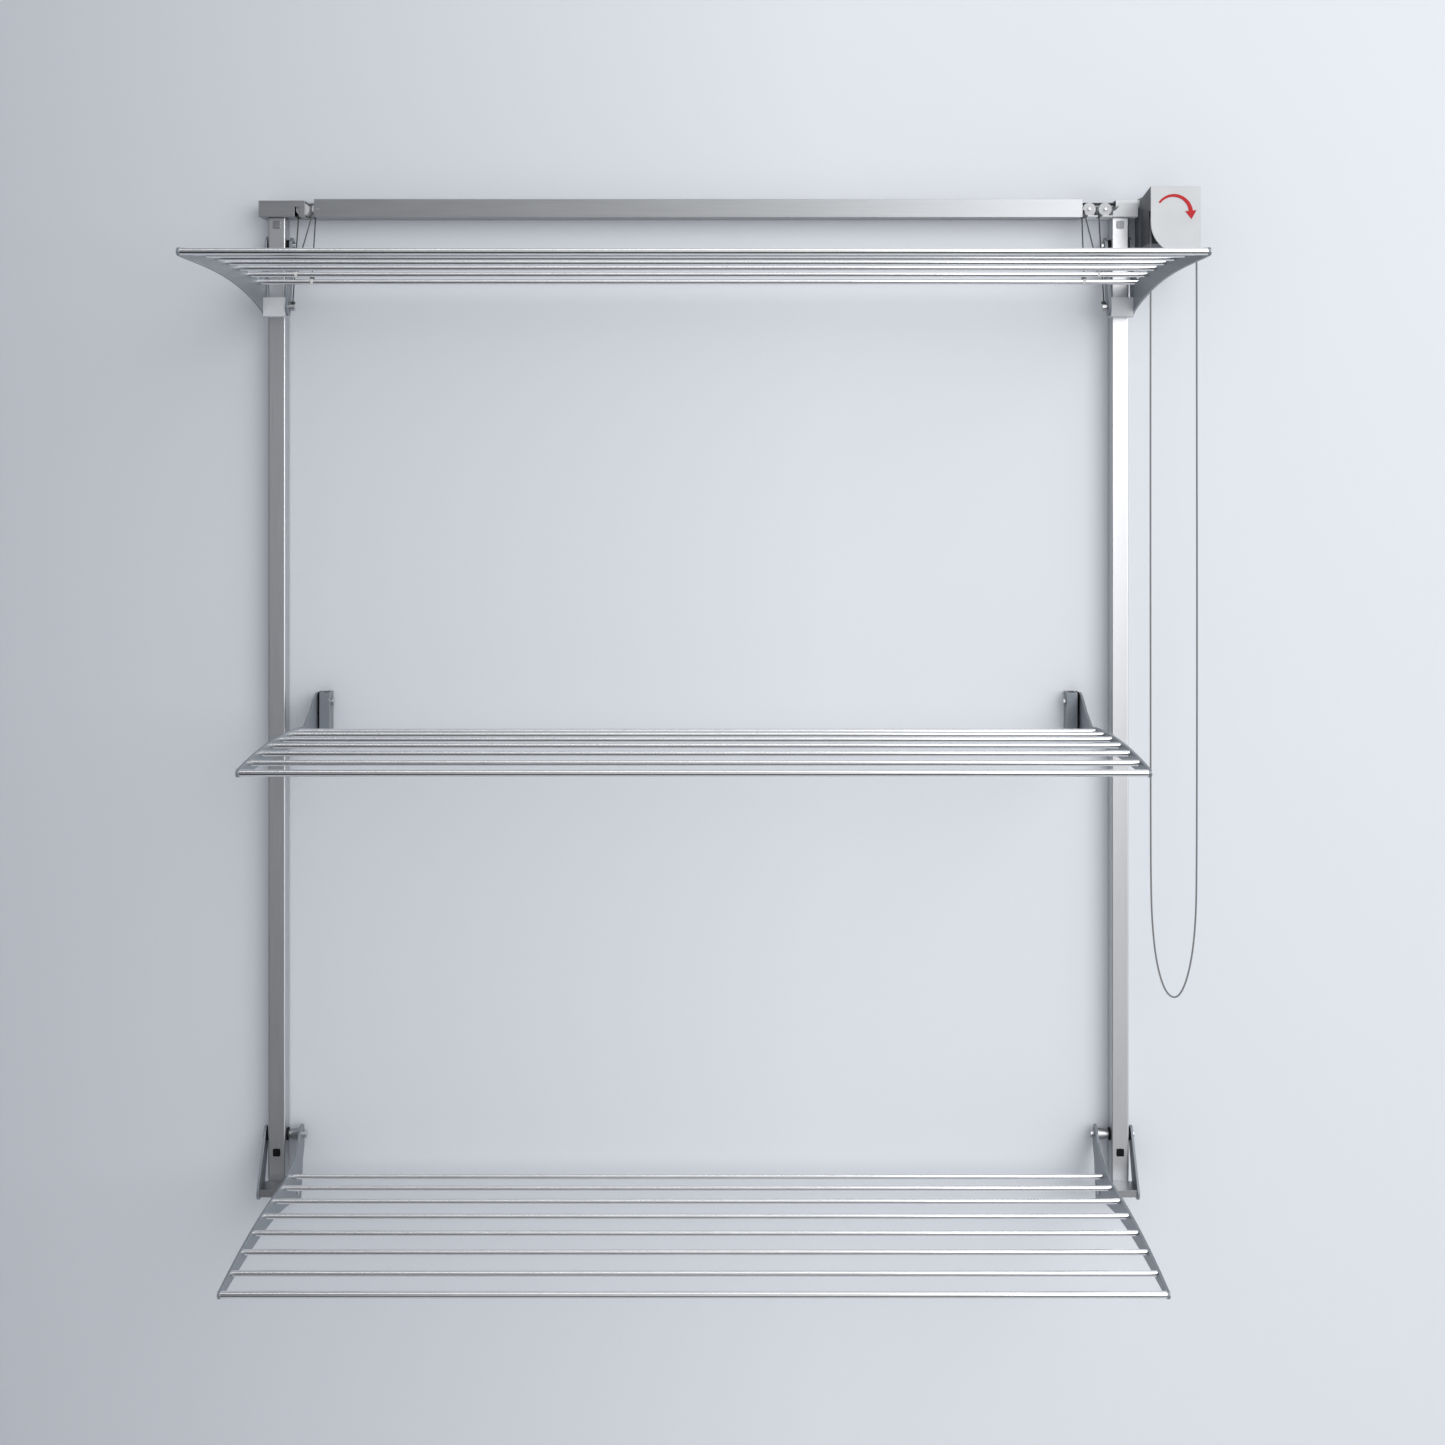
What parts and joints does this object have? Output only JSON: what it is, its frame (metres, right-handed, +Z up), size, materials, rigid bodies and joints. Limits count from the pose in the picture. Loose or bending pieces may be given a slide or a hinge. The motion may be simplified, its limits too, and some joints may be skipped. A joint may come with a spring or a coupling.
{
  "type": "wall mounted drying rack",
  "caption": "Wall frame of two posts and a top beam with fold-flat rod shelves; a winder with an endless pull cord and lift cords raises the top shelf.",
  "frame": {"origin": "centre of the four wall screws, on the wall plane at the back of the posts", "axes": "+Z up, +Y into the wall, so the front faces -Y, and +X to the right seen from the front"},
  "size_m": [1.0775, 0.4172, 1.171],
  "materials": {
    "anodised_aluminium": "satin anodised, fine lengthwise brushing",
    "polished_rod": "polished",
    "sheet_metal": "satin blue-grey paint",
    "bright_steel": "zinc plated",
    "white_plastic": "light grey, fine texture",
    "dark_plastic": "matte",
    "grey_plastic": "matte",
    "natural_nylon": "smooth",
    "cord": "braided",
    "red_inlay": "smooth"
  },
  "bodies": {
    "wall_frame": {"post_left": "anodised_aluminium", "post_right": "anodised_aluminium", "top_beam": "anodised_aluminium", "beam_tongues": "bright_steel", "end_housing_left": "anodised_aluminium", "end_housing_right": "white_plastic", "post_end_caps": "dark_plastic", "screw_caps": "dark_plastic", "upper_screw_caps": "anodised_aluminium", "pivot_bushes": "dark_plastic", "wall_bracket_left": "sheet_metal", "wall_bracket_right": "sheet_metal", "bracket_covers": "sheet_metal", "friction_pads": "dark_plastic", "pulley_axles": "bright_steel", "cord_tube": "white_plastic", "winder_base": "sheet_metal", "winder_case": "grey_plastic", "winder_cover": "white_plastic", "turn_arrow": "red_inlay", "cover_screws": "bright_steel", "wheel_axle": "bright_steel", "brake_spring": "bright_steel", "pull_cord": "cord", "cord_wrap": "cord", "cord_runs": "cord", "lift_cords": "cord"},
    "cord_wheel_body": {"cord_wheel": "dark_plastic", "pinion": "natural_nylon"},
    "spool_body": {"spool": "natural_nylon", "spool_gear": "natural_nylon"},
    "pulley_left_inner_body": {"pulley_left_inner": "white_plastic"},
    "pulley_left_outer_body": {"pulley_left_outer": "white_plastic"},
    "pulley_right_inner_body": {"pulley_right_inner": "white_plastic"},
    "pulley_right_outer_body": {"pulley_right_outer": "white_plastic"},
    "top_shelf": {"top_rods": "polished_rod", "top_front_bar": "polished_rod", "top_side_plate_left": "sheet_metal", "top_side_plate_right": "sheet_metal", "top_arm_left": "sheet_metal", "top_arm_right": "sheet_metal", "top_crossbars": "white_plastic", "top_pivot_pins": "bright_steel", "top_bolts": "bright_steel", "cord_lugs": "natural_nylon"},
    "middle_shelf": {"middle_rods": "polished_rod", "middle_front_bar": "polished_rod", "middle_side_plate_left": "sheet_metal", "middle_side_plate_right": "sheet_metal", "middle_pivot_pins": "bright_steel"},
    "bottom_shelf": {"bottom_rods": "polished_rod", "bottom_front_bar": "polished_rod", "bottom_side_plate_left": "sheet_metal", "bottom_side_plate_right": "sheet_metal", "bottom_outer_arm_left": "sheet_metal", "bottom_outer_arm_right": "sheet_metal", "bottom_crossbars": "anodised_aluminium", "bottom_pivot_pins": "bright_steel", "bottom_spacers": "anodised_aluminium", "bottom_bolts": "bright_steel"}
  },
  "joints": [
    {"name": "top_fold", "type": "hinge", "parent": "wall_frame", "child": "top_shelf", "pos_m": [0, -0.0125, 0.516], "axis": [-1, 0, 0], "range_deg": [0, 90], "deforming": ["lift_cords"]},
    {"name": "middle_fold", "type": "hinge", "parent": "wall_frame", "child": "middle_shelf", "pos_m": [0, -0.0125, -0.0165], "axis": [-1, 0, 0], "range_deg": [0, 90]},
    {"name": "bottom_fold", "type": "hinge", "parent": "wall_frame", "child": "bottom_shelf", "pos_m": [0, -0.0125, -0.522], "axis": [-1, 0, 0], "range_deg": [0, 90]},
    {"name": "wheel_spin", "type": "hinge", "parent": "wall_frame", "child": "cord_wheel_body", "pos_m": [0.5395, -0.0875, 0.535], "axis": [0, 1, 0], "range_deg": [-725, 0]},
    {"name": "spool_spin", "type": "hinge", "parent": "wall_frame", "child": "spool_body", "pos_m": [0.5469, -0.02, 0.5525], "axis": [0, 1, 0], "range_deg": [0, 260]},
    {"name": "pulley_left_inner_spin", "type": "hinge", "parent": "wall_frame", "child": "pulley_left_inner_body", "pos_m": [-0.4417, -0.019, 0.5577], "axis": [0, 1, 0], "range_deg": [0, 474]},
    {"name": "pulley_left_outer_spin", "type": "hinge", "parent": "wall_frame", "child": "pulley_left_outer_body", "pos_m": [-0.4602, -0.019, 0.5577], "axis": [0, 1, 0], "range_deg": [0, 474]},
    {"name": "pulley_right_inner_spin", "type": "hinge", "parent": "wall_frame", "child": "pulley_right_inner_body", "pos_m": [0.4543, -0.019, 0.5577], "axis": [0, 1, 0], "range_deg": [0, 474]},
    {"name": "pulley_right_outer_spin", "type": "hinge", "parent": "wall_frame", "child": "pulley_right_outer_body", "pos_m": [0.4728, -0.019, 0.5577], "axis": [0, 1, 0], "range_deg": [0, 474]}
  ],
  "couplings": [
    {"joint": "wheel_spin", "follows": "top_fold", "ratio": -8.0444},
    {"joint": "spool_spin", "follows": "top_fold", "ratio": 2.873},
    {"joint": "pulley_left_inner_spin", "follows": "top_fold", "ratio": 5.245},
    {"joint": "pulley_left_outer_spin", "follows": "top_fold", "ratio": 5.245},
    {"joint": "pulley_right_inner_spin", "follows": "top_fold", "ratio": 5.245},
    {"joint": "pulley_right_outer_spin", "follows": "top_fold", "ratio": 5.245}
  ]
}
